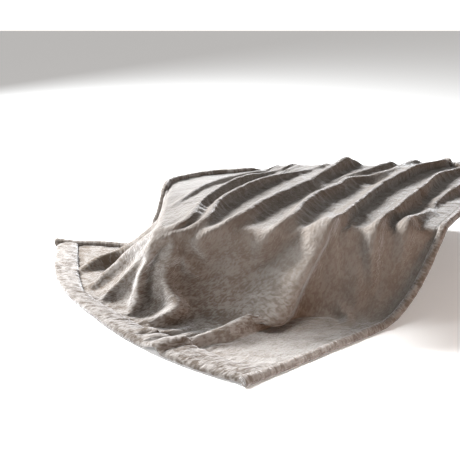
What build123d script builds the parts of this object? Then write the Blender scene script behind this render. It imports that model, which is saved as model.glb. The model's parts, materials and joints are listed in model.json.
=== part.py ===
from build123d import *
import os
from math import asin, atan2, cos, degrees, radians, sin, tan

# A plush throw laid askew over the corner of a low bed, with its front end fanned out on the floor.
# Millimetres, +Z up, floor at Z = 0. It is drawn with the bed's front left corner at X = 0, Y = 0: the
# bed's front edge runs along +X and its left edge along +Y. The last step moves the origin to the
# middle of the whole throw's base.

# ---- driving dimensions ----
throw_width = 1500          # flat width, side to side
throw_length = 2000         # flat length, hem to hem
cloth = 8                   # thickness of the plush cloth
band_width = 105            # turned hem at each end
band_cloth = 12             # thickness of a turned hem
roll_diameter = 26          # rolled hem along each side
thread = 1.6                # sewing thread
seam_inset = 8              # from a hem's edge to its line of stitches
seam_start = 140            # from a corner to where a side's line of stitches starts
seam_bend = 5               # radius of a line of stitches where it turns over an edge
label_width = 30
label_length = 50
label_cloth = 0.8
label_inset = 78            # from the far side's edge

bed_height = 320
bed_depth = 850
front_flare = 90            # how far the foot of the front drop stands off the bed
left_flare = 75             # the same at the bed's left side
lap_angle = 36              # direction of the pleats on the bed, from +Y towards +X
gather = 0.78               # width on the bed as a share of the flat width
fan_spread = 0.925          # straight distance between the front corners as a share of the flat width
fan_angle = 127.9           # direction from the near front corner to the far one
fan_bulge = 165             # how far the front hem bows out from that straight line

near_corner = Vector(310, -490)             # front end of the near side, on the floor
near_lean = 180             # how far the near side slants along the bed as it climbs
far_edge = Vector(0, 573)                   # where the far side comes over the bed's left edge
far_foot = Vector(-left_flare, 640)         # where the far side starts to climb

pleat_height = 44
pleat_count = 7
pleat_margin = 60           # flat cloth beside each rolled hem
rim_width = 30              # flat cloth along the bed's edges
roll_bend = 55              # radius of a rolled hem where it turns over an edge
roll_lift = 6               # extra height of a rolled hem at such a turn
run_share = 0.45            # most of a straight run that the arc at one of its ends may take

# ---- derived places ----
roll = roll_diameter / 2
lap = Vector(sin(radians(lap_angle)), cos(radians(lap_angle)))
across = Vector(-lap.Y, lap.X)
gathered_width = throw_width * gather

# The gathered cloth reaches from the far side, square to the pleats, to the bed's front edge.
near_edge = Vector((gathered_width - far_edge.Y * across.Y) / -across.X, 0)
near_foot = near_edge - Vector(near_lean, front_flare)
near_climb = (near_edge - near_foot + Vector(0, 0, bed_height)).length
near_lap_run = throw_length - (near_foot - near_corner).length - near_climb

# The lap is a flat pattern: what lies beyond the bed's depth hangs behind it, then lies on the floor.
near_back = near_edge + lap * near_lap_run
far_back = near_back + across * gathered_width

fan_chord = throw_width * fan_spread
fan_way = Vector(cos(radians(fan_angle)), sin(radians(fan_angle)))
fan_inward = Vector(fan_way.Y, -fan_way.X)
far_corner = near_corner + fan_way * fan_chord
hem_radius = fan_chord**2 / (8 * fan_bulge) + fan_bulge / 2
hem_centre = (near_corner + far_corner) / 2 + fan_inward * (hem_radius - fan_bulge)
hem_start = degrees(atan2(far_corner.Y - hem_centre.Y, far_corner.X - hem_centre.X))
hem_sweep = 2 * degrees(asin(fan_chord / 2 / hem_radius))
everywhere = 2 * (throw_length + throw_width)


def xy(*points):
    return [(point.X, point.Y) for point in points]


def at(point, height):
    return (point.X, point.Y, height)


def strip(start, end):
    """Part of the flat pattern, from one distance off the back hem to another."""
    return xy(
        near_back - lap * start,
        far_back - lap * start,
        far_back - lap * end,
        near_back - lap * end,
    )


def folded(outline, thickness, lap_start):
    """A piece of the flat pattern, folded down behind the bed and out along the floor there."""
    top = Plane.XY.offset(bed_height)
    behind = Plane(origin=(0, bed_depth, bed_height), x_dir=(1, 0, 0), z_dir=(0, 1, 0))
    ground = Plane.XY.move(Location((0, bed_depth, 0)))
    with BuildPart() as piece:
        for plane, start, depth in (
            (top, lap_start, bed_depth + thickness - lap_start),
            (behind, bed_depth, bed_height),
            (ground, bed_depth + bed_height, everywhere),
        ):
            base = 0 if plane is top else start
            if max(y for x, y in outline) <= start or min(y for x, y in outline) >= start + depth:
                continue
            with BuildSketch(plane):
                with Locations((0, -base)):
                    Polygon(*outline, align=None)
                with Locations((0, start - base)):
                    Rectangle(everywhere, depth, align=(Align.CENTER, Align.MIN), mode=Mode.INTERSECT)
            extrude(amount=thickness)
    return piece.part


def tube(points, diameter, bend):
    """A round bar along straight runs with an arc at each turn, no larger than its runs allow."""
    corners = [Vector(*point) for point in points]
    bends = []
    for before, corner, after in zip(corners, corners[1:], corners[2:]):
        half_turn = radians((corner - before).get_angle(after - corner)) / 2
        shorter_run = min((corner - before).length, (after - corner).length)
        bends.append(min(bend, run_share * shorter_run / tan(half_turn)))
    with BuildPart() as bar:
        with BuildLine() as path:
            FilletPolyline(*points, radius=bends)
        with BuildSketch(Plane(origin=path.line @ 0, z_dir=path.line % 0)):
            Circle(diameter / 2)
        sweep()
    return bar.part


def behind_bed(end, stand_off, lift):
    """A line along the pleats from the bed's back edge to its end: down, then out along the floor."""
    hang = end.Y - bed_depth
    over = end - lap * (hang / lap.Y)
    foot = end - lap * ((hang - bed_height) / lap.Y)
    way = [at(over + Vector(0, stand_off), bed_height + lift)]
    if hang < bed_height + 2 * stand_off:
        return way + [at(Vector(end.X, bed_depth + stand_off), max(bed_height - hang, lift))]
    return way + [at(Vector(foot.X, bed_depth + stand_off), lift), at(end - Vector(0, bed_height), lift)]


# ---- rolled side hems: the cloth's long edges, rolled up on themselves ----
turn = roll + roll_lift
with BuildPart() as near_side_roll:
    add(tube(
        [
            at(near_corner, roll),
            at(near_foot, roll),
            at(near_edge - Vector(0, turn), bed_height + turn),
            at(near_back, bed_height + roll),
        ],
        roll_diameter,
        roll_bend,
    ))
near_side_roll.part.label = "near_side_roll"

with BuildPart() as far_side_roll:
    add(tube(
        [
            at(far_corner, roll),
            at(far_foot, roll),
            at(far_edge - Vector(turn, 0), bed_height + turn),
            *behind_bed(far_back, turn, turn),
        ],
        roll_diameter,
        roll_bend,
    ))
far_side_roll.part.label = "far_side_roll"

# ---- front: the fan of cloth on the floor ----
with BuildSketch() as floor_plan:
    with BuildLine():
        Polyline(*xy(near_corner, near_foot, Vector(-left_flare, -front_flare), far_foot, far_corner))
        CenterArc(hem_centre, hem_radius, hem_start, hem_sweep)
    make_face()

with BuildPart() as front_hem_band:
    with BuildSketch():
        add(floor_plan.sketch)
        with Locations(hem_centre):
            Circle(hem_radius - band_width, mode=Mode.SUBTRACT)
    extrude(amount=band_cloth)
    add(near_side_roll.part, mode=Mode.SUBTRACT)
    add(far_side_roll.part, mode=Mode.SUBTRACT)
front_hem_band.part.label = "front_hem_band"

# ---- back end: hem band folded over the bed's back edge ----
with BuildPart() as back_hem_band:
    add(folded(strip(0, band_width), band_cloth, 0))
    add(near_side_roll.part, mode=Mode.SUBTRACT)
    add(far_side_roll.part, mode=Mode.SUBTRACT)
back_hem_band.part.label = "back_hem_band"


def drop_block(skin):
    """The space under the front and left drops, grown by the thickness of a skin."""
    with BuildPart() as block:
        with BuildSketch():
            with Locations((-left_flare - skin, -front_flare - skin)):
                Rectangle(everywhere, everywhere, align=Align.MIN)
        with BuildSketch(Plane.XY.offset(bed_height + skin)):
            with Locations((-skin, -skin)):
                Rectangle(everywhere, everywhere, align=Align.MIN)
        loft(ruled=True)
    return block.part


# ---- the main panel: fan, drops, pleated lap and the hanging back, all one cloth ----
with BuildPart() as lap_space:
    with BuildSketch(Plane.XY.offset(bed_height)):
        Polygon(*strip(band_width, everywhere), align=None)
        Rectangle(everywhere, bed_depth + cloth, align=Align.MIN, mode=Mode.INTERSECT)
    extrude(amount=2 * pleat_height)

pleat_pitch = (gathered_width - 2 * pleat_margin) / pleat_count
pleat_steps = 6
wave = [(0, 0)]
for step in range(pleat_steps * pleat_count + 1):
    phase = 360 / pleat_steps * step
    wave.append((
        pleat_margin + pleat_pitch * step / pleat_steps,
        pleat_height / 2 * (1 - cos(radians(phase))),
    ))
wave.append((gathered_width, 0))

with BuildPart() as pleats:
    with BuildSketch(Plane(origin=at(near_edge, bed_height), x_dir=at(across, 0), z_dir=at(lap, 0))):
        with BuildLine():
            under = Spline(*wave)
            over = Spline(*[(x, z + cloth) for x, z in wave])
            Line(under @ 0, over @ 0)
            Line(under @ 1, over @ 1)
        make_face()
    extrude(amount=throw_length, both=True)
    add(lap_space.part, mode=Mode.INTERSECT)

with BuildPart() as drops:
    add(drop_block(cloth))
    add(drop_block(0), mode=Mode.SUBTRACT)
    with BuildSketch(Plane.XY.offset(-cloth)):
        Polygon(
            *xy(
                near_edge + Vector(0, rim_width),
                near_edge,
                near_foot + (near_foot - near_edge),
                Vector(-2 * left_flare, -2 * front_flare),
                far_foot + (far_foot - far_edge),
                far_edge,
                far_edge + lap * (rim_width / lap.X),
                Vector(rim_width, rim_width),
            ),
            align=None,
        )
    extrude(amount=bed_height + 3 * cloth, mode=Mode.INTERSECT)

with BuildPart() as apron:
    add(floor_plan.sketch)
    extrude(amount=cloth)
    add(drop_block(0), mode=Mode.SUBTRACT)

with BuildPart() as main_panel:
    add(apron.part)
    add(drops.part)
    add(pleats.part)
    add(folded(strip(band_width, everywhere), cloth, bed_depth - rim_width))
    for neighbour in (near_side_roll, far_side_roll, front_hem_band, back_hem_band):
        add(neighbour.part, mode=Mode.SUBTRACT)
main_panel.part.label = "main_panel"

# ---- sewing thread: one line of stitches along the inner edge of every hem ----
stitch_radius = hem_radius - band_width + seam_inset
with BuildPart() as front_hem_stitching:
    with BuildSketch(Plane.XY.offset(band_cloth)):
        with Locations(hem_centre):
            Circle(stitch_radius + thread / 2)
            Circle(stitch_radius - thread / 2, mode=Mode.SUBTRACT)
        add(floor_plan.sketch, mode=Mode.INTERSECT)
    extrude(amount=thread)
    for under in (main_panel, near_side_roll, far_side_roll):
        add(under.part, mode=Mode.SUBTRACT)
front_hem_stitching.part.label = "front_hem_stitching"

with BuildPart() as back_hem_stitching:
    seam_line = band_width - seam_inset
    add(folded(strip(seam_line - thread, seam_line), band_cloth + thread, 0))
    for under in (back_hem_band, main_panel, near_side_roll, far_side_roll):
        add(under.part, mode=Mode.SUBTRACT)
back_hem_stitching.part.label = "back_hem_stitching"

side_inset = roll + seam_inset
seam_height = cloth + 1.5 * thread
stand_off = cloth + 2 * thread
near_way = (near_foot - near_corner).normalized()
far_way = (far_foot - far_corner).normalized()
near_seam = near_edge + across * side_inset
far_seam = far_edge - across * side_inset
near_seam_top = near_seam - lap * ((near_seam.Y + stand_off) / lap.Y)
far_seam_top = far_seam - lap * ((far_seam.X + stand_off) / lap.X)

with BuildPart() as near_side_stitching:
    add(tube(
        [
            at(near_corner + near_way * seam_start + Vector(-near_way.Y, near_way.X) * side_inset, seam_height),
            at(near_seam_top - Vector(near_lean + side_inset, front_flare), seam_height),
            at(near_seam_top, bed_height + seam_height),
            at(near_back + across * side_inset - lap * seam_start, bed_height + seam_height),
        ],
        thread,
        seam_bend,
    ))
near_side_stitching.part.label = "near_side_stitching"

with BuildPart() as far_side_stitching:
    add(tube(
        [
            at(far_corner + far_way * seam_start + Vector(far_way.Y, -far_way.X) * side_inset, seam_height),
            at(far_seam_top + Vector(-left_flare, far_foot.Y - far_edge.Y), seam_height),
            at(far_seam_top, bed_height + seam_height),
            *behind_bed(far_back - across * side_inset - lap * seam_start, stand_off, seam_height),
        ],
        thread,
        seam_bend,
    ))
far_side_stitching.part.label = "far_side_stitching"

# ---- care label: a blank woven strip sewn on the back hem, where it lies on the floor ----
with BuildPart() as care_label:
    label_corner = far_back - across * label_inset - lap * (seam_line - 2 * thread)
    label_side = across * label_width
    label_end = lap * label_length
    label_outline = xy(
        label_corner,
        label_corner - label_side,
        label_corner - label_side + label_end,
        label_corner + label_end,
    )
    add(folded(label_outline, band_cloth + label_cloth, 0))
    add(folded(label_outline, band_cloth, 0), mode=Mode.SUBTRACT)
care_label.part.label = "care_label"

# ---- origin to the middle of the base, then one file for each piece ----
pieces = (
    main_panel,
    front_hem_band,
    back_hem_band,
    near_side_roll,
    far_side_roll,
    front_hem_stitching,
    back_hem_stitching,
    near_side_stitching,
    far_side_stitching,
    care_label,
)
whole = Compound([piece.part for piece in pieces]).bounding_box()
to_origin = Location((-whole.center().X, -whole.center().Y, 0))

os.makedirs("parts", exist_ok=True)
for piece in pieces:
    export_step(piece.part.move(to_origin), f"parts/{piece.part.label}.step")
print("bed's front left corner:", at(Vector(0, 0) - whole.center(), 0))
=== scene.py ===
import json
import math

import bmesh
import bpy
import numpy as np
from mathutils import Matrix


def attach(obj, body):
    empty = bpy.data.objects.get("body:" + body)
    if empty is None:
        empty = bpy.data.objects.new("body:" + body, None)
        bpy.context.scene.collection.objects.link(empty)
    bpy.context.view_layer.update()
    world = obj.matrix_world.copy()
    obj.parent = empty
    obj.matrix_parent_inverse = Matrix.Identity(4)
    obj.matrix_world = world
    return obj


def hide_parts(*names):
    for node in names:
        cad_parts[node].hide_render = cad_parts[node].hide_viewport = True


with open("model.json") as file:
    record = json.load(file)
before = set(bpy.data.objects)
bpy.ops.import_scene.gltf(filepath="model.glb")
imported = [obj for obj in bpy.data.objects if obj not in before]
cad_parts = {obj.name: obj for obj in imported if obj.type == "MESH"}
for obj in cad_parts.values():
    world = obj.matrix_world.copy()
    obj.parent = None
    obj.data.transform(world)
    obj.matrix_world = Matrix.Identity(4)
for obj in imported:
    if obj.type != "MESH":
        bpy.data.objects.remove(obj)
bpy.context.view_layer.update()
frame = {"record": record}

# ---- The bed corner under the throw --------------------------------------------------------------
# The throw lies over the front left corner of a low bed, which is no part of it. The record keeps
# the bed's place as an opening, a few millimetres smaller than the bed itself.
opening = next(o for o in frame["record"]["physics"]["openings"] if o["name"] == "bed_corner")
low, high = np.array(opening["box_m"])
side_room = 0.005
top_room = 0.003
corner = np.array([low[0] - side_room, low[1] - side_room, 0.0])
bed_height = high[2] + top_room
bed_depth = high[1] + side_room - corner[1]

# ---- Main panel: how the cloth lies ---------------------------------------------------------------
# One cloth of short dense plush, 1.5 m by 2 m. It is laid askew over the bed's corner, gathered into
# slanting pleats on the bed, and fans out on the floor. u runs from the near side edge to the far one,
# v from the front hem to the back one, both in metres along the cloth. All places here are from the
# bed's corner, and the pleats run along `lap`.
width, length = 1.5, 2.0
cloth = 0.008
cells_u, cells_v = 150, 200
lap_angle = math.radians(36)
lap = np.array([math.sin(lap_angle), math.cos(lap_angle)])
across = np.array([-lap[1], lap[0]])
near_edge = np.array([1.03, 0.0])
near_corner = np.array([0.31, -0.49])
fan_way = math.radians(127.9)
fan_chord = 1.3875
fan_bulge = 0.176
back_hem = 0.95
rest_height = 0.005


def smooth(x, points):
    """A smooth curve through listed points, flat beyond its ends."""
    xs, ys = (np.array(side, float) for side in zip(*points))
    slope = np.gradient(ys, xs)
    i = np.clip(np.searchsorted(xs, x, side="right") - 1, 0, len(xs) - 2)
    step = xs[i + 1] - xs[i]
    t = np.clip((x - xs[i]) / step, 0, 1)
    start = (2 * t**3 - 3 * t**2 + 1) * ys[i] + (t**3 - 2 * t**2 + t) * step * slope[i]
    return start + (3 * t**2 - 2 * t**3) * ys[i + 1] + (t**3 - t**2) * step * slope[i + 1]


def soften(grid, passes):
    """Evens out a grid of values or points, with its border held."""
    for _ in range(passes):
        grid = grid.copy()
        grid[1:-1] = (grid[:-2] + 2 * grid[1:-1] + grid[2:]) / 4
        grid[:, 1:-1] = (grid[:, :-2] + 2 * grid[:, 1:-1] + grid[:, 2:]) / 4
    return grid


def facing(grid):
    """Unit normals of a grid of points, on the plush side."""
    normal = np.cross(np.gradient(grid, axis=1), np.gradient(grid, axis=0))
    normal = np.where(normal[..., 2:].mean() < 0, -normal, normal)
    return normal / (np.linalg.norm(normal, axis=-1, keepdims=True) + 1e-12)


def blend_at(table, at):
    """Samples a grid between its points, with a smooth cubic. `at` holds row and column numbers."""
    rows, cols = at

    def weights(t):
        return (
            -0.5 * t**3 + t**2 - 0.5 * t,
            1.5 * t**3 - 2.5 * t**2 + 1,
            -1.5 * t**3 + 2 * t**2 + 0.5 * t,
            0.5 * t**3 - 0.5 * t**2,
        )

    row0, col0 = np.floor(rows).astype(int), np.floor(cols).astype(int)
    total = 0
    for i, row_weight in enumerate(weights(rows - row0)):
        r = np.clip(row0 + i - 1, 0, table.shape[0] - 1)
        for j, col_weight in enumerate(weights(cols - col0)):
            c = np.clip(col0 + j - 1, 0, table.shape[1] - 1)
            weight = row_weight * col_weight
            total = total + table[r, c] * (weight[..., None] if table.ndim == 3 else weight)
    return total


def lumps(u, v, size_u, size_v, seed):
    """Soft random heights from about -1 to 1, with the given size of lump along each way of the cloth."""
    table = np.random.default_rng(seed).uniform(-1, 1, (int(2 / size_u) + 6, int(2.4 / size_v) + 6))
    return blend_at(table, (np.asarray(u) / size_u + 1, np.asarray(v) / size_v + 1))


u = np.linspace(0, width, cells_u + 1)[:, None] * np.ones(cells_v + 1)
v = np.linspace(0, length, cells_v + 1) * np.ones((cells_u + 1, 1))

# The front hem is an arc on the floor.
hem_radius = fan_chord**2 / (8 * fan_bulge) + fan_bulge / 2
far_corner = near_corner + fan_chord * np.array([math.cos(fan_way), math.sin(fan_way)])
hem_centre = (near_corner + far_corner) / 2
hem_centre = hem_centre + (hem_radius - fan_bulge) * np.array([math.sin(fan_way), -math.cos(fan_way)])
near_turn, far_turn = (math.atan2(*(end - hem_centre)[::-1]) for end in (near_corner, far_corner))
hem_turn = near_turn + (far_turn - near_turn) * u[:, 0] / width
hem = hem_centre + hem_radius * np.stack([np.cos(hem_turn), np.sin(hem_turn)], -1)

# Every line of cloth from the hem climbs to the bed's edge, then runs back along the pleats.
# gathered: how far it then lies from the near side, square to the pleats.
# climb: the length of cloth from the hem to the bed's edge. reach: where its drop meets the floor.
gathered = smooth(u[:, 0], [(0, 0), (0.5, 0.42), (1.0, 0.833), (1.25, 0.99), (1.5, 1.10)])
climb = smooth(
    u[:, 0], [(0, 1.03), (0.15, 0.96), (0.4, 0.82), (0.75, 0.70), (1.0, 0.60), (1.25, 0.65), (1.5, 0.78)]
)
reach = smooth(
    u[:, 0],
    [(0, 0.30), (0.15, 0.22), (0.27, 0.16), (0.34, 0.18), (0.40, 0.38), (0.47, 0.46), (0.75, 0.44),
     (1.0, 0.30), (1.2, 0.30), (1.35, 0.28), (1.5, 0.25)],
)
sag = smooth(
    u[:, 0],
    [(0, 2.2), (0.15, 1.7), (0.3, 1.2), (0.42, 1.5), (0.75, 1.6), (1.0, 1.3), (1.2, 2.4), (1.5, 3.0)],
)
far_bow = 0.022 * smooth(u[:, 0], [(0.75, 0), (1.1, 1), (1.4, 0)])
hem = hem + far_bow[:, None] * (hem - hem_centre) / hem_radius
to_front = -across[1] * gathered / lap[1]
to_left = -(near_edge[0] + across[0] * gathered) / lap[0]
edge_lap = np.maximum(to_front, to_left)
edge = near_edge + np.outer(gathered, across) + np.outer(edge_lap, lap)
run = np.linalg.norm(hem - edge, axis=1)
reach = np.minimum(reach, 0.97 * run)

# The lines near the far side bow back on the drop, and draw in and out along the bed.
far_draw = 0.1
far_back = 0.06
far_share = (gathered / gathered[-1]) ** 8
draw_way = [
    (0, 0), (0.06, 0.5), (0.18, 0.4), (0.31, -0.2), (0.42, -1.1),
    (0.58, -1.9), (0.75, -1.4), (1, -0.4), (1.2, 0),
]
drape = np.zeros((cells_u + 1, cells_v + 1, 3))
drop_steps = 60
share = np.linspace(0, 1, drop_steps)
for i in range(cells_u + 1):
    plan = np.concatenate([[0.0], run[i] - reach[i] + reach[i] * share])
    height = np.concatenate([[0.0], bed_height * share ** sag[i]])
    path = np.concatenate([[0.0], np.cumsum(np.hypot(np.diff(plan), np.diff(height)))])
    climbed = np.clip(v[i] / climb[i], 0, 1)
    along = climbed * path[-1]
    drape[i, :, :2] = hem[i] + np.outer(np.interp(along, path, plan) / run[i], edge[i] - hem[i])
    drape[i, :, 2] = np.interp(along, path, height)
    drape[i, :, 1] += far_back * far_share[i] * 4 * climbed * (1 - climbed)
    on_bed = v[i] > climb[i]
    back = edge_lap[i] + (back_hem - edge_lap[i]) * (v[i] - climb[i]) / (length - climb[i])
    draw_in = far_draw * far_share[i] * smooth(v[i] - climb[i], draw_way)
    sideways_place = np.outer(gathered[i] + draw_in, across)[on_bed]
    drape[i, on_bed, :2] = near_edge + sideways_place + back[on_bed, None] * lap
    drape[i, on_bed, 2] = bed_height
past_edge = v - climb[:, None]
beyond = np.where(past_edge > 0, drape[..., 1] - bed_depth, -1)
hanging = beyond > 0
drape[..., 1] = np.where(hanging, bed_depth + np.clip(beyond - bed_height, 0, None), drape[..., 1])
drape[..., 2] = np.where(hanging, bed_height - np.clip(beyond, 0, bed_height), drape[..., 2])
drape = soften(drape, 3)
upright = soften(facing(drape), 10)

# The folds, from the near side to the far one. Each crest is a line of places (past_edge, u), then
# heights at the same kind of places, then its width on the near flank and on the far one, and how
# round it is: a round fold leans over its near flank.
folds = [
    ([(-1, 0.10), (-0.3, 0.10), (0, 0.125), (0.03, 0.135), (0.2, 0.125), (0.4, 0.13), (0.6, 0.11), (1, 0.08)],
     [(-0.5, 0), (-0.15, 0.012), (-0.04, 0.030), (0.03, 0.054), (0.10, 0.042), (0.6, 0.046), (1.3, 0.03)],
     0.085, 0.045, 0.2),
    ([(-0.42, 0.12), (-0.34, 0.17), (-0.28, 0.24)],
     [(-0.44, 0), (-0.37, 0.026), (-0.31, 0.024), (-0.25, 0)], 0.022, 0.04, 0.5),
    ([(-1, 0.16), (-0.3, 0.19), (-0.1, 0.23), (0, 0.24), (0.1, 0.235), (0.5, 0.25), (0.78, 0.25), (0.9, 0.20),
      (1.2, 0.2)],
     [(-0.34, 0), (-0.2, 0.012), (-0.08, 0.030), (0, 0.048), (0.12, 0.052), (0.6, 0.052), (1.3, 0.03)],
     0.08, 0.045, 0.35),
    ([(-1, 0.36), (-0.78, 0.37), (-0.66, 0.34), (-0.5, 0.365), (-0.3, 0.40), (0, 0.415), (0.05, 0.405),
      (0.28, 0.42), (0.53, 0.44), (0.73, 0.43), (0.92, 0.39), (0.98, 0.35), (1.2, 0.35)],
     [(-1, 0.006), (-0.8, 0.032), (-0.6, 0.070), (-0.3, 0.096), (-0.08, 0.074), (0, 0.058), (0.15, 0.050),
      (0.7, 0.050), (0.92, 0.054), (1.3, 0.03)], 0.050, 0.062, 0.85),
    ([(-0.10, 0.45), (0, 0.445), (0.06, 0.44), (0.15, 0.46), (0.3, 0.50)],
     [(-0.16, 0), (-0.06, 0.050), (0.04, 0.050), (0.14, 0.034), (0.26, 0)], 0.016, 0.035, 0.5),
    ([(-0.3, 0.30), (0, 0.325), (0.12, 0.34)],
     [(-0.14, 0), (-0.05, 0.008), (0, 0.012), (0.06, 0.014), (0.16, 0)], 0.035, 0.04, 0.3),
    ([(-1, 0.50), (-0.3, 0.56), (-0.1, 0.61), (0, 0.595), (0.05, 0.57), (0.19, 0.59), (0.33, 0.61),
      (0.5, 0.60), (0.64, 0.59), (0.70, 0.53), (0.76, 0.495), (0.9, 0.47), (1.2, 0.45)],
     [(-0.34, 0), (-0.15, 0.020), (0, 0.040), (0.08, 0.050), (0.6, 0.052), (0.9, 0.052), (1.3, 0.03)],
     0.10, 0.05, 0.1),
    ([(0.55, 0.70), (0.7, 0.67), (0.84, 0.60), (0.95, 0.57)],
     [(0.5, 0), (0.66, 0.026), (0.82, 0.042), (1.2, 0.02)], 0.05, 0.04, 0.2),
    ([(-0.3, 0.78), (-0.06, 0.815), (-0.02, 0.82), (0.02, 0.775), (0.1, 0.75), (0.24, 0.76), (0.6, 0.76),
      (0.95, 0.775), (1.3, 0.78)],
     [(-0.22, 0), (-0.06, 0.024), (0, 0.042), (0.08, 0.050), (0.6, 0.050), (0.8, 0.056), (0.95, 0.064),
      (1.1, 0.04), (1.3, 0.02)], 0.10, 0.05, 0.1),
    ([(-0.1, 0.98), (-0.02, 0.965), (0.01, 0.905), (0.05, 0.865), (0.10, 0.87), (0.21, 0.92), (0.43, 0.98),
      (0.58, 0.995), (0.70, 0.96), (0.80, 0.91), (1.0, 0.86), (1.3, 0.85)],
     [(-0.1, 0.004), (0, 0.034), (0.06, 0.040), (0.2, 0.050), (0.6, 0.050), (0.8, 0.036), (1.3, 0.02)],
     0.085, 0.05, 0.1),
    ([(0, 0.965), (0.04, 0.945), (0.18, 0.985), (0.32, 1.08), (0.45, 1.16), (0.55, 1.17), (0.8, 1.08),
      (1.2, 1.05)],
     [(-0.04, 0.008), (0.04, 0.030), (0.2, 0.044), (0.45, 0.050), (0.6, 0.036), (0.8, 0.026), (1.3, 0.02)],
     0.10, 0.05, 0.1),
    ([(0.08, 1.14), (0.17, 1.20), (0.27, 1.27), (0.38, 1.33), (0.6, 1.33), (1.2, 1.25)],
     [(0.04, 0), (0.14, 0.018), (0.3, 0.030), (0.45, 0.030), (0.8, 0.018), (1.3, 0.01)], 0.06, 0.04, 0.2),
    # folds that fan out from the bed's corner over the drop
    ([(-0.62, 0.60), (-0.56, 0.585), (-0.47, 0.605), (-0.37, 0.71), (-0.28, 0.79), (-0.1, 0.89), (0, 0.93)],
     [(-0.66, 0), (-0.58, 0.040), (-0.48, 0.070), (-0.37, 0.066), (-0.2, 0.054), (-0.06, 0.044), (0.03, 0)],
     0.05, 0.07, 0.7),
    ([(-0.60, 0.70), (-0.47, 0.755), (-0.29, 0.875), (-0.12, 0.96), (0, 0.985)],
     [(-0.58, 0.004), (-0.47, 0.034), (-0.3, 0.048), (-0.1, 0.038), (0.03, 0)], 0.035, 0.05, 0.5),
    ([(-0.52, 0.89), (-0.4, 0.95), (-0.2, 1.00)],
     [(-0.52, 0.004), (-0.44, 0.034), (-0.3, 0.030), (-0.15, 0)], 0.025, 0.04, 0.5),
    ([(-0.46, 1.07), (-0.38, 1.10), (-0.25, 1.12), (-0.1, 1.07), (0, 1.02)],
     [(-0.50, 0.004), (-0.40, 0.052), (-0.25, 0.060), (-0.1, 0.040), (0, 0.015)], 0.045, 0.05, 0.5),
    ([(-0.54, 1.22), (-0.47, 1.28), (-0.38, 1.33), (-0.2, 1.31), (0, 1.27)],
     [(-0.54, 0.010), (-0.48, 0.060), (-0.36, 0.076), (-0.2, 0.050), (0, 0.004)], 0.07, 0.055, 0.6),
    # the crumple where the long fold meets the front seam
    ([(-0.74, 0.52), (-0.64, 0.47), (-0.56, 0.47)],
     [(-0.76, 0), (-0.70, 0.030), (-0.62, 0.026), (-0.54, 0)], 0.022, 0.03, 0.5),
    ([(-0.74, 0.44), (-0.68, 0.42), (-0.60, 0.42)],
     [(-0.80, 0), (-0.72, 0.032), (-0.64, 0.024), (-0.56, 0)], 0.020, 0.025, 0.5),
]
sharpness = 1.5
full_fold = 0.05
lean_share = 0.55
hang_fade = 0.6
fold_height = np.zeros_like(u)
flank = np.zeros_like(u)
lean = np.zeros_like(u)
for crest, heights, near_width, far_width, roundness in folds:
    crest_u = smooth(past_edge, crest)
    height = np.clip(smooth(past_edge, heights), 0, None)
    height = np.where(hanging, height * np.clip(1 - beyond / hang_fade, 0.35, 1), height)
    offset = crest_u - u
    x = np.clip(np.where(offset > 0, offset / near_width, -offset / far_width), 0, 1)
    shape = roundness * (0.5 + 0.5 * np.cos(np.pi * x)) + (1 - roundness) * (1 - x) ** sharpness
    here = height * shape
    on_near_flank = (offset > 0) & (here > fold_height)
    flank = np.where(on_near_flank, np.sin(np.pi * x) * height / full_fold, flank)
    lean = np.where(here > fold_height, roundness * height * shape, lean)
    fold_height = np.maximum(fold_height, here)
fold_height = soften(fold_height, 1)
lean = lean_share * soften(lean, 2)
sideways = np.gradient(drape, axis=0)
sideways /= np.linalg.norm(sideways, axis=-1, keepdims=True) + 1e-9
guide = drape + upright * (rest_height + fold_height)[..., None] - sideways * lean[..., None]
guide[..., 2] = np.maximum(guide[..., 2], rest_height)


def mesh_from(name, points, faces):
    mesh = bpy.data.meshes.new(name)
    mesh.from_pydata(np.asarray(points, float).reshape(-1, 3).tolist(), [], faces)
    mesh.update()
    piece = bpy.data.objects.new(name, mesh)
    bpy.context.scene.collection.objects.link(piece)
    return piece


def grid_faces(rows, cols):
    """Faces of a grid of points, row by row, all wound the same way."""
    index = np.arange(rows * cols).reshape(rows, cols)
    squares = np.stack([index[:-1, :-1], index[1:, :-1], index[1:, 1:], index[:-1, 1:]], -1)
    return squares.reshape(-1, 4).tolist()


settle_frames = 24


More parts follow.
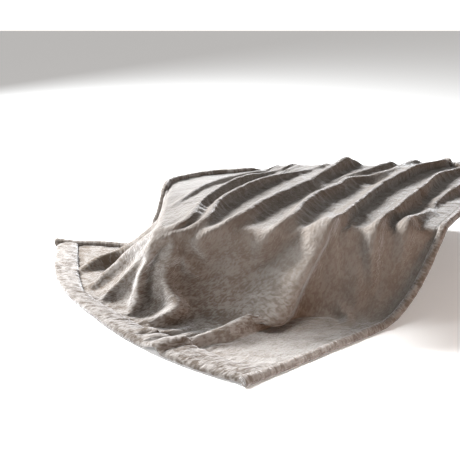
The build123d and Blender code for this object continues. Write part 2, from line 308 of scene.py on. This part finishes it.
def settle(points):
    """Lets the laid cloth sink over the bed and the floor, held loosely along its crests and edges."""
    scene = bpy.context.scene
    sheet = mesh_from("settling_cloth", points, grid_faces(cells_u + 1, cells_v + 1))
    blocks = []
    for name, lowest, highest, edge_round in (
        ("bed_block", (0, 0, -0.1), (3, bed_depth, bed_height), 0.012),
        ("ground_block", (-1.5, -1.5, -0.3), (3, 2.5, 0), 0),
    ):
        mesh = bpy.data.meshes.new(name)
        form = bmesh.new()
        bmesh.ops.create_cube(form, size=1)
        for vert in form.verts:
            vert.co = [(a + b) / 2 + c * (b - a) for a, b, c in zip(lowest, highest, vert.co)]
        if edge_round:
            bmesh.ops.bevel(form, geom=form.edges[:], offset=edge_round, segments=4, affect="EDGES")
        long_edges = [e for e in form.edges if e.calc_length() > 0.2]
        bmesh.ops.subdivide_edges(form, edges=long_edges, cuts=4, use_grid_fill=True)
        form.to_mesh(mesh)
        form.free()
        block = bpy.data.objects.new(name, mesh)
        scene.collection.objects.link(block)
        block.modifiers.new("hard", "COLLISION")
        block.collision.thickness_outer = 0.002
        block.collision.cloth_friction = 15
        block.collision.damping = 0.5
        blocks.append(block)
    hold = np.zeros_like(u)
    hold[:, :2] = 0.8
    hold[:2, :] = 0.7
    hold[-2:, :] = 0.7
    hold[:, -2:] = 0.4
    hold = np.maximum(hold, np.clip(fold_height / full_fold, 0, 1) ** 2 * 0.5)
    group = sheet.vertex_groups.new(name="hold")
    for number, weight in enumerate(hold.ravel()):
        if weight > 0.01:
            group.add([number], float(weight), "REPLACE")
    soft = sheet.modifiers.new("cloth", "CLOTH")
    soft.settings.quality = 6
    soft.settings.mass = 0.1
    soft.settings.tension_stiffness = soft.settings.compression_stiffness = 40
    soft.settings.shear_stiffness = 10
    soft.settings.bending_stiffness = 1.5
    soft.settings.air_damping = 3
    soft.settings.vertex_group_mass = "hold"
    soft.settings.pin_stiffness = 1.0
    soft.settings.shrink_min = -0.02
    soft.collision_settings.distance_min = 0.005
    soft.point_cache.frame_end = settle_frames
    scene.frame_end = settle_frames
    for moment in range(1, settle_frames + 1):
        scene.frame_set(moment)
    resting = sheet.evaluated_get(bpy.context.evaluated_depsgraph_get())
    places = np.empty(points.size)
    resting.data.vertices.foreach_get("co", places)
    for thing in (sheet, *blocks):
        bpy.data.objects.remove(thing)
    scene.frame_set(1)
    return places.reshape(points.shape)


# A short cloth simulation takes the stiffness out of the laid shape.
settled = settle(guide)
settled = soften(settled, 1)
settled[..., 2] = np.maximum(settled[..., 2], rest_height)
settled_facing = soften(facing(settled), 1)


def on_cloth(at_u, at_v):
    """Places and normals on the settled cloth. A place past an edge goes straight on."""
    at_u, at_v = np.broadcast_arrays(np.asarray(at_u, float), np.asarray(at_v, float))
    held_u, held_v = np.clip(at_u, 0, width), np.clip(at_v, 0, length)
    place = blend_at(settled, (held_u / width * cells_u, held_v / length * cells_v))
    normal = blend_at(settled_facing, (held_u / width * cells_u, held_v / length * cells_v))
    small = 0.012
    for past, axis in ((at_u - held_u, 0), (at_v - held_v, 1)):
        if np.any(past):
            inner_u = np.clip(held_u - np.sign(past) * small * (axis == 0), 0, width)
            inner_v = np.clip(held_v - np.sign(past) * small * (axis == 1), 0, length)
            inner = blend_at(settled, (inner_u / width * cells_u, inner_v / length * cells_v))
            outward = place - inner
            outward /= np.linalg.norm(outward, axis=-1, keepdims=True) + 1e-9
            place = place + outward * np.abs(past)[..., None]
    return place, normal / (np.linalg.norm(normal, axis=-1, keepdims=True) + 1e-12)


def on_floor(points, lowest=0.0004):
    """Moves a piece from the bed's corner to its place, with nothing under the floor."""
    points = points + corner
    points[..., 2] = np.maximum(points[..., 2], lowest)
    return points


def shade_by(piece, name, values):
    """Gives a piece a value for each point, which its material reads by name."""
    piece.data.attributes.new(name, "FLOAT", "POINT").data.foreach_set("value", values)


def finish_mesh(piece, flat_places):
    """Smooth faces that look outwards, and a UV map in metres of cloth."""
    mesh = piece.data
    form = bmesh.new()
    form.from_mesh(mesh)
    bmesh.ops.recalc_face_normals(form, faces=form.faces)
    form.to_mesh(mesh)
    form.free()
    mesh.shade_smooth()
    corner_vertex = np.empty(len(mesh.loops), int)
    mesh.loops.foreach_get("vertex_index", corner_vertex)
    layer = mesh.uv_layers.new(name="cloth_metres")
    layer.data.foreach_set("uv", np.asarray(flat_places, float).reshape(-1, 2)[corner_vertex].ravel())


# ---- Main panel: the visible cloth ---------------------------------------------------------------
# The plush side is a fine grid with the small ripples that its pleats push up across their flanks,
# and the underside a coarser one, closed along the edges that the hems cover.
fine_u, fine_v, coarse = 240, 296, 4
tuck = 0.09
side_trim = 0.004
panel_u = np.linspace(side_trim, width - side_trim, fine_u + 1)[:, None] * np.ones(fine_v + 1)
panel_v = np.linspace(tuck, length - tuck, fine_v + 1) * np.ones((fine_u + 1, 1))
grid_place = (panel_u / width * cells_u, panel_v / length * cells_v)
flank_here = blend_at(soften(flank, 2), grid_place)
past_here = blend_at(past_edge, grid_place)
on_lap = 1 / (1 + np.exp(-(past_here - 0.03) / 0.02))
ripple_patch = np.clip(0.55 + 0.9 * lumps(panel_u, panel_v, 0.10, 0.12, 3), 0, 1.3)
ripples = lumps(panel_u, panel_v + 0.25 * panel_u, 0.09, 0.013, 4)
relief = 0.0034 * ripples * ripple_patch * flank_here * on_lap
relief += 0.0016 * lumps(panel_u, panel_v, 0.05, 0.06, 5)
relief += 0.0008 * lumps(panel_u, panel_v, 0.016, 0.022, 6)
front_pull = np.exp(-((panel_v - 0.105) / 0.045) ** 2) + np.exp(-((length - panel_v - 0.105) / 0.045) ** 2)
relief += 0.0028 * lumps(panel_u, panel_v, 0.014, 0.10, 7) * front_pull - 0.003 * front_pull**4
side_pull = np.exp(-(panel_u / 0.05) ** 2) + np.exp(-((width - panel_u) / 0.05) ** 2)
relief += 0.0018 * lumps(panel_u, panel_v, 0.09, 0.016, 8) * side_pull
place, normal = on_cloth(panel_u, panel_v)
upper = on_floor(place + normal * (cloth / 2 + relief)[..., None], cloth * 0.7)
lower = on_floor((place - normal * cloth / 2)[::coarse, ::coarse])
upper_count = (fine_u + 1) * (fine_v + 1)
upper_index = np.arange(upper_count).reshape(fine_u + 1, fine_v + 1)
lower_index = upper_count + np.arange(lower[..., 0].size).reshape(lower.shape[:2])
faces = grid_faces(fine_u + 1, fine_v + 1)
faces += (np.array(grid_faces(*lower.shape[:2]))[:, ::-1] + upper_count).tolist()
for fine, plain in (
    (upper_index[0], lower_index[0]),
    (upper_index[-1], lower_index[-1]),
    (upper_index[:, 0], lower_index[:, 0]),
    (upper_index[:, -1], lower_index[:, -1]),
):
    for k in range(len(plain) - 1):
        for j in range(coarse):
            faces.append([fine[coarse * k + j], fine[coarse * k + j + 1], plain[k + (2 * j >= coarse)]])
        faces.append([fine[coarse * k + coarse // 2], plain[k + 1], plain[k]])
faces = [[int(number) for number in face] for face in faces]
panel_points = np.concatenate([upper.reshape(-1, 3), lower.reshape(-1, 3)])
main_panel = mesh_from("plush_panel", panel_points, faces)
flat_u = np.concatenate([panel_u.ravel(), panel_u[::coarse, ::coarse].ravel()])
flat_v = np.concatenate([panel_v.ravel(), panel_v[::coarse, ::coarse].ravel()])
finish_mesh(main_panel, np.stack([flat_u, flat_v], -1))
# The pile is brushed about most by the front hem. On top of that comes painted light: a painted highlight
# makes the pile paler by the near front corner and on the bed's far side, and a painted shade makes it deeper
# by the far front corner.
crushed = np.clip(1.2 - 1.3 * flat_v, 0.3, 0.9)
painted_highlight_and_shade = 0.5 * np.exp(-(((flat_u - 0.12) / 0.22) ** 2) - ((flat_v - 0.25) / 0.2) ** 2)
painted_highlight_and_shade += 0.7 * np.exp(-(((flat_u - 1.45) / 0.25) ** 2) - ((flat_v - 1.05) / 0.3) ** 2)
painted_highlight_and_shade -= 0.35 * np.exp(-(((flat_u - 1.3) / 0.3) ** 2) - ((flat_v - 0.2) / 0.2) ** 2)
shade_by(main_panel, "crushed", crushed)
shade_by(main_panel, "painted_highlight_and_shade", painted_highlight_and_shade)

# The plush: short soft pile, brushed this way and that, so that it is silvery in one patch and deep
# taupe in the next. The nap group puts out the brushed mask and the height of the pile.
nap = bpy.data.node_groups.new("brushed_nap", "ShaderNodeTree")
for name, kind, way in (
    ("Cloth", "NodeSocketVector", "INPUT"),
    ("Patch", "NodeSocketFloat", "INPUT"),
    ("Streak", "NodeSocketFloat", "INPUT"),
    ("Tuft", "NodeSocketFloat", "INPUT"),
    ("Brushed", "NodeSocketFloat", "OUTPUT"),
    ("Pile", "NodeSocketFloat", "OUTPUT"),
):
    nap.interface.new_socket(name=name, in_out=way, socket_type=kind)
nap_in = nap.nodes.new("NodeGroupInput")
nap_out = nap.nodes.new("NodeGroupOutput")


def add_noise(tree, vector, scale, detail, distortion=0.0):
    node = tree.nodes.new("ShaderNodeTexNoise")
    node.inputs["Detail"].default_value = detail
    node.inputs["Distortion"].default_value = distortion
    tree.links.new(vector, node.inputs["Vector"])
    if isinstance(scale, float):
        node.inputs["Scale"].default_value = scale
    else:
        tree.links.new(scale, node.inputs["Scale"])
    return node.outputs["Fac"]


def add_math(tree, operation, *values):
    node = tree.nodes.new("ShaderNodeMath")
    node.operation = operation
    for socket, value in zip(node.inputs, values):
        if isinstance(value, (int, float)):
            socket.default_value = value
        else:
            tree.links.new(value, socket)
    return node.outputs[0]


stretched = nap.nodes.new("ShaderNodeMapping")
stretched.inputs["Scale"].default_value = (2.4, 1.0, 1.0)
nap.links.new(nap_in.outputs["Cloth"], stretched.inputs["Vector"])
patches = add_noise(nap, nap_in.outputs["Cloth"], nap_in.outputs["Patch"], 3.0, 0.8)
streaks = add_noise(nap, stretched.outputs["Vector"], nap_in.outputs["Streak"], 4.0, 0.5)
tufts = add_noise(nap, nap_in.outputs["Cloth"], nap_in.outputs["Tuft"], 5.0)
patch_share = add_math(nap, "MULTIPLY", patches, 0.42)
streak_share = add_math(nap, "MULTIPLY", streaks, 0.58)
mixed = add_math(nap, "ADD", patch_share, streak_share)
spread = nap.nodes.new("ShaderNodeMapRange")
spread.interpolation_type = "SMOOTHSTEP"
spread.inputs["From Min"].default_value = 0.41
spread.inputs["From Max"].default_value = 0.59
nap.links.new(mixed, spread.inputs["Value"])
nap.links.new(spread.outputs["Result"], nap_out.inputs["Brushed"])
pile = add_math(nap, "ADD", add_math(nap, "MULTIPLY", streaks, 0.7), add_math(nap, "MULTIPLY", tufts, 0.5))
nap.links.new(pile, nap_out.inputs["Pile"])


def plush(name, deep, silver, patch, streak, tuft, rise):
    """A plush material: two pile colours, the sizes of its patches, streaks and tufts, and their rise."""
    material = bpy.data.materials.new(name)
    material.use_nodes = True
    tree = material.node_tree
    shader = tree.nodes["Principled BSDF"]
    flat = tree.nodes.new("ShaderNodeUVMap")
    flat.uv_map = "cloth_metres"
    brushed = tree.nodes.new("ShaderNodeGroup")
    brushed.node_tree = nap
    tree.links.new(flat.outputs["UV"], brushed.inputs["Cloth"])
    for socket, value in (("Patch", patch), ("Streak", streak), ("Tuft", tuft)):
        brushed.inputs[socket].default_value = value
    colour = tree.nodes.new("ShaderNodeMix")
    colour.data_type = "RGBA"
    colour.inputs["A"].default_value = (*deep, 1)
    colour.inputs["B"].default_value = (*silver, 1)
    worn = tree.nodes.new("ShaderNodeAttribute")
    worn.attribute_name = "crushed"
    plain_shade = 0.4
    shade = add_math(tree, "SUBTRACT", brushed.outputs["Brushed"], plain_shade)
    shade = add_math(tree, "MULTIPLY", shade, worn.outputs["Fac"])
    shade = add_math(tree, "ADD", shade, plain_shade)
    # Painted light: this attribute adds a painted highlight or a painted shade to the pile's colour.
    painted_light_attribute = tree.nodes.new("ShaderNodeAttribute")
    painted_light_attribute.attribute_name = "painted_highlight_and_shade"
    shade = add_math(tree, "ADD", shade, painted_light_attribute.outputs["Fac"])
    tree.links.new(shade, colour.inputs["Factor"])
    tree.links.new(colour.outputs["Result"], shader.inputs["Base Color"])
    bump = tree.nodes.new("ShaderNodeBump")
    bump.inputs["Strength"].default_value = 0.8
    bump.inputs["Distance"].default_value = rise
    tree.links.new(brushed.outputs["Pile"], bump.inputs["Height"])
    tree.links.new(bump.outputs["Normal"], shader.inputs["Normal"])
    shader.inputs["Roughness"].default_value = 0.9
    shader.inputs["Specular IOR Level"].default_value = 0.15
    shader.inputs["Sheen Weight"].default_value = 0.8
    shader.inputs["Sheen Roughness"].default_value = 0.35
    shader.inputs["Sheen Tint"].default_value = (0.96, 0.97, 1.0, 1)
    return material


taupe_deep = (0.104, 0.080, 0.061)
taupe_silver = (0.235, 0.214, 0.198)
main_panel.data.materials.append(plush("taupe_plush", taupe_deep, taupe_silver, 19.0, 60.0, 150.0, 0.009))
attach(main_panel, "root")
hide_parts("main_panel")

# ---- Front and back hem bands ---------------------------------------------------------------------
# Each end of the cloth is turned over in a wide band and sewn down along its inner edge. The band is
# double cloth, and the seam gathers it into small puckers that run across it.
band_width = 0.105
band_cloth = 0.012
band_cells = 520


def band_section():
    """Half a turn round the cloth's edge: insets from it and heights off the middle of the cloth."""
    top, under = band_cloth - rest_height, -rest_height + 0.0006
    outer = (top - under) / 2
    middle = (top + under) / 2
    insets = [band_width + 0.002, band_width]
    heights = [0.0, top * 0.75]
    for inset in np.linspace(band_width - 0.004, 0.006, 24):
        insets.append(inset)
        heights.append(top)
    for turn in np.linspace(math.radians(60), math.radians(-60), 7):
        insets.append(0.004 - outer * math.cos(turn))
        heights.append(middle + outer * math.sin(turn))
    for inset in np.linspace(0.008, band_width, 8):
        insets.append(inset)
        heights.append(under)
    return np.array(insets), np.array(heights)


def hem_band(name, from_back, seed):
    inset, height = band_section()
    around = np.linspace(0.003, width - 0.003, band_cells + 1)[:, None] * np.ones(len(inset))
    inset = inset * np.ones((band_cells + 1, 1))
    height = height * np.ones((band_cells + 1, 1))
    at_v = length - inset if from_back else inset
    place, normal = on_cloth(around, at_v)
    near_seam = np.clip(inset / band_width, 0, 1)
    pucker = lumps(around, inset, 0.011, 0.09, seed) * (0.25 + 0.75 * near_seam**1.5)
    pucker = pucker + 0.7 * lumps(around, inset, 0.030, 0.05, seed + 1)
    on_top = height > band_cloth / 3
    crown = 0.012 * np.sin(np.pi * np.clip(inset / band_width, 0, 1)) ** 0.4
    height = height + np.where(on_top, crown + 0.0026 * pucker, 0)
    points = on_floor(place + normal * height[..., None])
    rows, cols = inset.shape
    index = np.arange(rows * cols).reshape(rows, cols)
    faces = grid_faces(rows, cols)
    for row in range(rows - 1):
        faces.append([int(index[row, -1]), int(index[row + 1, -1]), int(index[row + 1, 0]), int(index[row, 0])])
    faces.append(index[0].tolist())
    faces.append(index[-1, ::-1].tolist())
    band = mesh_from(name, points, faces)
    shade_by(band, "crushed", np.ones(rows * cols))
    way = np.concatenate([[0.0], np.cumsum(np.hypot(np.diff(inset[0]), np.diff(height[0])))])
    finish_mesh(band, np.stack([around, way * np.ones((rows, 1)) + from_back], -1))
    return band


hem_plush = plush("hem_plush", (0.088, 0.068, 0.053), (0.225, 0.203, 0.187), 22.0, 46.0, 130.0, 0.010)
for name, node, from_back, seed in (
    ("front_band", "front_hem_band", False, 21),
    ("back_band", "back_hem_band", True, 31),
):
    band = hem_band(name, from_back, seed)
    band.data.materials.append(hem_plush)
    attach(band, "root")
    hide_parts(node)

# ---- Near and far rolled hems ----------------------------------------------------------------------
# Each long edge is rolled up on itself into a fat soft tube, and its ends show the roll as a spiral.
roll_radius = 0.0155
roll_turns = 24
roll_step = 0.006
end_rings = 9
spiral_groove = 0.0022
even_passes = 25
swollen_length = 0.05


def rolled_hem(name, at_far_side, seed):
    along = np.arange(-0.006, length + 0.006 + roll_step / 2, roll_step)
    edge_u = width if at_far_side else 0.0
    inner_u = width - 0.015 if at_far_side else 0.015
    place, normal = on_cloth(np.full_like(along, edge_u), along)
    inner, _ = on_cloth(np.full_like(along, inner_u), along)
    for _ in range(even_passes):
        for line in (place, inner, normal):
            line[1:-1] = (line[:-2] + 2 * line[1:-1] + line[2:]) / 4
    tangent = np.gradient(place, axis=0)
    tangent /= np.linalg.norm(tangent, axis=1, keepdims=True)
    side = place - inner
    side -= (side * tangent).sum(1, keepdims=True) * tangent
    side /= np.linalg.norm(side, axis=1, keepdims=True)
    up = np.cross(side, tangent)
    up *= np.sign((up * normal).sum(1, keepdims=True))
    near_ends = np.exp(-(along / swollen_length) ** 2) + np.exp(-((length - along) / swollen_length) ** 2)
    end_swell = 0.3 * near_ends
    rise = roll_radius * (1 + end_swell) - rest_height
    middle = place + up * rise[:, None] + side * roll_radius * 0.3
    middle[:, 2] = np.maximum(middle[:, 2], roll_radius * 0.96)
    turn = np.linspace(0, 2 * math.pi, roll_turns, endpoint=False)
    swell = 1 + 0.07 * lumps(along[:, None], turn * roll_radius, 0.05, 0.02, seed)
    swell += 0.05 * lumps(along[:, None], turn * roll_radius, 0.014, 0.03, seed + 1)
    swell *= 1 + end_swell[:, None]
    radius = roll_radius * swell
    rings = middle[:, None] + radius[..., None] * (
        np.cos(turn)[:, None] * side[:, None] + np.sin(turn)[:, None] * up[:, None]
    )
    caps = []
    for end, outward in ((0, -tangent[0]), (-1, tangent[-1])):
        shrink = np.linspace(1, 0, end_rings + 1)[1:-1, None]
        wave = np.cos(2 * math.pi * (shrink * 2.4 - turn / (2 * math.pi)))
        bulge = 0.35 * roll_radius * np.sqrt(np.clip(1 - shrink**2, 0, 1)) + spiral_groove * (wave - 1) / 2
        cap = middle[end] + (rings[end] - middle[end])[None] * shrink[..., None] + bulge[..., None] * outward
        caps.append((cap, middle[end] + outward * 0.3 * roll_radius))
    points = np.concatenate([caps[0][0][::-1], rings, caps[1][0]])
    count = len(points)
    index = np.arange(count * roll_turns).reshape(count, roll_turns)
    wrapped = np.roll(index, -1, axis=1)
    faces = np.stack([index[:-1], index[1:], wrapped[1:], wrapped[:-1]], -1).reshape(-1, 4).tolist()
    tips = (count * roll_turns, count * roll_turns + 1)
    faces += [[int(a), int(b), tips[0]] for a, b in zip(wrapped[0], index[0])]
    faces += [[int(a), int(b), tips[1]] for a, b in zip(index[-1], wrapped[-1])]
    everything = np.concatenate([points.reshape(-1, 3), [caps[0][1], caps[1][1]]])
    roll = mesh_from(name, on_floor(everything), faces)
    shade_by(roll, "crushed", np.full(len(everything), 0.7))
    flat = np.zeros((count, roll_turns, 2))
    flat[..., 0] = (np.arange(count) * roll_step)[:, None] + 3 * at_far_side
    flat[..., 1] = np.abs(turn - math.pi) * roll_radius
    finish_mesh(roll, np.concatenate([flat.reshape(-1, 2), [[0, 0], [length, 0]]]))
    return roll


for name, node, at_far_side, seed in (
    ("near_roll", "near_side_roll", False, 41),
    ("far_roll", "far_side_roll", True, 51),
):
    roll = rolled_hem(name, at_far_side, seed)
    roll.data.materials.append(hem_plush)
    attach(roll, "root")
    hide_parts(node)

# ---- Stitching -----------------------------------------------------------------------------------
# Every hem is sewn down with one line of stitches in thread of the cloth's colour, a little sunk in
# the pile. The stitch tree lays one stitch after another along a seam.
stitch_length = 0.0045
stitch_pitch = 0.0062
thread_radius = 0.0009
thread_material = bpy.data.materials.new("sewing_thread")
thread_material.use_nodes = True
thread_shader = thread_material.node_tree.nodes["Principled BSDF"]
twist = thread_material.node_tree.nodes.new("ShaderNodeTexWave")
twist.inputs["Scale"].default_value = 320.0
twist.inputs["Distortion"].default_value = 1.5
where = thread_material.node_tree.nodes.new("ShaderNodeTexCoord")
thread_material.node_tree.links.new(where.outputs["Object"], twist.inputs["Vector"])
plies = thread_material.node_tree.nodes.new("ShaderNodeMix")
plies.data_type = "RGBA"
plies.inputs["A"].default_value = (0.060, 0.046, 0.037, 1)
plies.inputs["B"].default_value = (0.110, 0.088, 0.072, 1)
thread_material.node_tree.links.new(twist.outputs["Fac"], plies.inputs["Factor"])
thread_material.node_tree.links.new(plies.outputs["Result"], thread_shader.inputs["Base Color"])
thread_shader.inputs["Roughness"].default_value = 0.6
thread_shader.inputs["Sheen Weight"].default_value = 0.2

seam_tree = bpy.data.node_groups.new("stitch_line", "GeometryNodeTree")
for name, kind, way in (
    ("Seam", "NodeSocketGeometry", "INPUT"),
    ("Pitch", "NodeSocketFloat", "INPUT"),
    ("Stitch Length", "NodeSocketFloat", "INPUT"),
    ("Thread Radius", "NodeSocketFloat", "INPUT"),
    ("Stitches", "NodeSocketGeometry", "OUTPUT"),
):
    seam_tree.interface.new_socket(name=name, in_out=way, socket_type=kind)
make = seam_tree.nodes.new
join = seam_tree.links.new
seam_in, seam_out = make("NodeGroupInput"), make("NodeGroupOutput")
seam_curve = make("GeometryNodeMeshToCurve")
seam_points = make("GeometryNodeResampleCurve")
seam_points.mode = "LENGTH"
stitch = make("GeometryNodeMeshUVSphere")
stitch.inputs["Segments"].default_value = 6
stitch.inputs["Rings"].default_value = 5
stitch.inputs["Radius"].default_value = 1.0
stitch_size = make("ShaderNodeCombineXYZ")
half_length = make("ShaderNodeMath")
half_length.operation = "MULTIPLY"
half_length.inputs[1].default_value = 0.5
stretch = make("GeometryNodeTransform")
lay_stitch = make("GeometryNodeInstanceOnPoints")
direction = make("GeometryNodeInputTangent")
turn_stitch = make("FunctionNodeAlignRotationToVector")
turn_stitch.axis = "Z"
real = make("GeometryNodeRealizeInstances")
coat = make("GeometryNodeSetMaterial")
coat.inputs["Material"].default_value = thread_material
join(seam_in.outputs["Seam"], seam_curve.inputs["Mesh"])
join(seam_curve.outputs["Curve"], seam_points.inputs["Curve"])
join(seam_in.outputs["Pitch"], seam_points.inputs["Length"])
join(seam_in.outputs["Stitch Length"], half_length.inputs[0])
join(seam_in.outputs["Thread Radius"], stitch_size.inputs["X"])
join(seam_in.outputs["Thread Radius"], stitch_size.inputs["Y"])
join(half_length.outputs["Value"], stitch_size.inputs["Z"])
join(stitch.outputs["Mesh"], stretch.inputs["Geometry"])
join(stitch_size.outputs["Vector"], stretch.inputs["Scale"])
join(seam_points.outputs["Curve"], lay_stitch.inputs["Points"])
join(stretch.outputs["Geometry"], lay_stitch.inputs["Instance"])
join(direction.outputs["Tangent"], turn_stitch.inputs["Vector"])
join(turn_stitch.outputs["Rotation"], lay_stitch.inputs["Rotation"])
join(lay_stitch.outputs["Instances"], real.inputs["Geometry"])
join(real.outputs["Geometry"], coat.inputs["Geometry"])
join(coat.outputs["Geometry"], seam_out.inputs["Stitches"])


def sewn(name, node, at_u, at_v, height):
    """Stitches along a line of places on the cloth, at a height off its middle."""
    place, normal = on_cloth(at_u, at_v)
    points = on_floor(place + normal * np.asarray(height)[..., None], 0.0015)
    line = bpy.data.meshes.new(name)
    line.from_pydata(points.tolist(), [(k, k + 1) for k in range(len(points) - 1)], [])
    seam = bpy.data.objects.new(name, line)
    bpy.context.scene.collection.objects.link(seam)
    lay = seam.modifiers.new("stitches", "NODES")
    lay.node_group = seam_tree
    sizes = {"Pitch": stitch_pitch, "Stitch Length": stitch_length, "Thread Radius": thread_radius}
    for socket in seam_tree.interface.items_tree:
        if socket.name in sizes:
            lay[socket.identifier] = sizes[socket.name]
    ready = seam.evaluated_get(bpy.context.evaluated_depsgraph_get())
    stitches = bpy.data.meshes.new_from_object(ready)
    seam.modifiers.remove(lay)
    seam.data = stitches
    stitches.name = name
    if not stitches.materials:
        stitches.materials.append(thread_material)
    stitches.shade_smooth()
    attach(seam, "root")
    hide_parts(node)
    return seam


seam_inset = 0.008
seam_top = band_cloth - rest_height + 0.0004
side_top = cloth / 2 + 0.0004
seam_steps = 400
across_cloth = np.linspace(0.03, width - 0.03, seam_steps)
along_cloth = np.linspace(band_width + 0.01, length - band_width - 0.01, seam_steps)
band_seam = np.full(seam_steps, band_width - seam_inset)
roll_seam = np.full(seam_steps, roll_radius + seam_inset)
band_top = np.full(seam_steps, seam_top)
panel_top = np.full(seam_steps, side_top)
seams = [
    sewn("front_band_stitches", "front_hem_stitching", across_cloth, band_seam, band_top),
    sewn("back_band_stitches", "back_hem_stitching", across_cloth, length - band_seam, band_top),
    sewn("near_roll_stitches", "near_side_stitching", roll_seam, along_cloth, panel_top),
    sewn("far_roll_stitches", "far_side_stitching", width - roll_seam, along_cloth, panel_top),
]

# ---- Care label ----------------------------------------------------------------------------------
# A small blank woven strip, caught under the back band's seam near the far corner.
label_length, label_width, label_cloth = 0.05, 0.03, 0.0008
label_u = width - 0.1
tape_rows, tape_cols = 13, 21
tape_u = np.linspace(label_u - label_width, label_u, tape_rows)[:, None] * np.ones(tape_cols)
tape_v = np.linspace(length - band_width, length - band_width + label_length, tape_cols)
tape_v = tape_v * np.ones((tape_rows, 1))
place, normal = on_cloth(tape_u, tape_v)
lift = band_cloth - rest_height + 0.002 + 0.0015 * np.linspace(0, 1, tape_cols) ** 2
tape_top = on_floor(place + normal * (lift + label_cloth)[..., None])
tape_under = on_floor(place + normal * lift[..., None])
tape_count = tape_u.size
tape_index = np.arange(tape_count).reshape(tape_rows, tape_cols)
faces = grid_faces(tape_rows, tape_cols)
faces += (np.array(faces)[:, ::-1] + tape_count).tolist()
border = [*tape_index[0], *tape_index[1:, -1], *tape_index[-1, -2::-1], *tape_index[-2:0:-1, 0]]
for here, there in zip(border, border[1:] + border[:1]):
    faces.append([int(here), int(there), int(there) + tape_count, int(here) + tape_count])
tape_points = np.concatenate([tape_top.reshape(-1, 3), tape_under.reshape(-1, 3)])
care_label = mesh_from("care_tape", tape_points, faces)
finish_mesh(care_label, np.tile(np.stack([tape_u.ravel(), tape_v.ravel()], -1), (2, 1)))
tape_material = bpy.data.materials.new("woven_tape")
tape_material.use_nodes = True
tape_tree = tape_material.node_tree
tape_shader = tape_tree.nodes["Principled BSDF"]
tape_flat = tape_tree.nodes.new("ShaderNodeUVMap")
tape_flat.uv_map = "cloth_metres"
weave = tape_tree.nodes.new("ShaderNodeTexChecker")
weave.inputs["Scale"].default_value = 1600.0
weave.inputs["Color1"].default_value = (0.78, 0.76, 0.72, 1)
weave.inputs["Color2"].default_value = (0.62, 0.60, 0.56, 1)
tape_tree.links.new(tape_flat.outputs["UV"], weave.inputs["Vector"])
tape_tree.links.new(weave.outputs["Color"], tape_shader.inputs["Base Color"])
tape_shader.inputs["Roughness"].default_value = 0.5
care_label.data.materials.append(tape_material)
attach(care_label, "root")
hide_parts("care_label")

# ---- Floor, light and camera ---------------------------------------------------------------------
floor_half = 12.0
floor_top = -0.001
floor = mesh_from(
    "floor",
    [(-floor_half, -floor_half, floor_top), (floor_half, -floor_half, floor_top),
     (floor_half, floor_half, floor_top), (-floor_half, floor_half, floor_top)],
    [[0, 1, 2, 3]],
)
floor_material = bpy.data.materials.new("pale_floor")
floor_material.use_nodes = True
floor_shader = floor_material.node_tree.nodes["Principled BSDF"]
floor_shader.inputs["Base Color"].default_value = (0.93, 0.925, 0.92, 1)
floor_shader.inputs["Roughness"].default_value = 0.9
floor_shader.inputs["Emission Color"].default_value = (1.0, 1.0, 1.0, 1)
floor_shader.inputs["Emission Strength"].default_value = 0.2
floor.data.materials.append(floor_material)


def lamp(name, place, aim, power, size, colour):
    data = bpy.data.lights.new(name, "AREA")
    data.energy = power
    data.shape = "DISK"
    data.size = size
    data.color = colour
    light = bpy.data.objects.new(name, data)
    bpy.context.scene.collection.objects.link(light)
    light.location = np.array(place) + corner
    ray = np.array(aim) - np.array(place)
    reach_flat = math.hypot(ray[0], ray[1])
    light.rotation_euler = (math.atan2(reach_flat, -ray[2]), 0, math.atan2(ray[1], ray[0]) - math.pi / 2)


daylight = (0.95, 0.98, 1.0)
lamp("window", (-2.5, 2.0, 2.5), (0.3, 0.0, 0.1), 850, 1.2, daylight)
lamp("left_window", (-3.2, -0.6, 1.5), (0.0, 0.0, 0.1), 70, 1.2, daylight)
lamp("warm_low", (2.6, -1.8, 0.5), (0.4, -0.1, 0.1), 24, 1.0, (1.0, 0.50, 0.24))
near_light = bpy.data.lights.new("over_near_corner", "SPOT")
near_light.energy = 240
near_light.spot_size = math.radians(28)
near_light.spot_blend = 1.0
near_light.shadow_soft_size = 0.3
near_light.color = daylight
near_spot = bpy.data.objects.new("over_near_corner", near_light)
bpy.context.scene.collection.objects.link(near_spot)
near_spot.location = np.array((0.52, -0.36, 1.7)) + corner
world = bpy.data.worlds.new("soft_room")
world.use_nodes = True
sky = world.node_tree.nodes["Background"]
sky.inputs["Color"].default_value = (1.0, 0.965, 0.93, 1)
sky_share = world.node_tree.nodes.new("ShaderNodeMapRange")
sky_share.inputs["To Min"].default_value = 0.31
sky_share.inputs["To Max"].default_value = 1.15
seen = world.node_tree.nodes.new("ShaderNodeLightPath")
world.node_tree.links.new(seen.outputs["Is Camera Ray"], sky_share.inputs["Value"])
world.node_tree.links.new(sky_share.outputs["Result"], sky.inputs["Strength"])
bpy.context.scene.world = world
bpy.context.scene.view_settings.view_transform = "Standard"

camera_data = bpy.data.cameras.new("camera")
camera_data.sensor_width = 36
camera_data.lens = 50.87
camera = bpy.data.objects.new("camera", camera_data)
bpy.context.scene.collection.objects.link(camera)
camera.location = np.array((0.267, -2.20, 1.208)) + corner
look_down = 21.8
camera.rotation_euler = (math.radians(90 - look_down), 0, 0)
bpy.context.scene.camera = camera
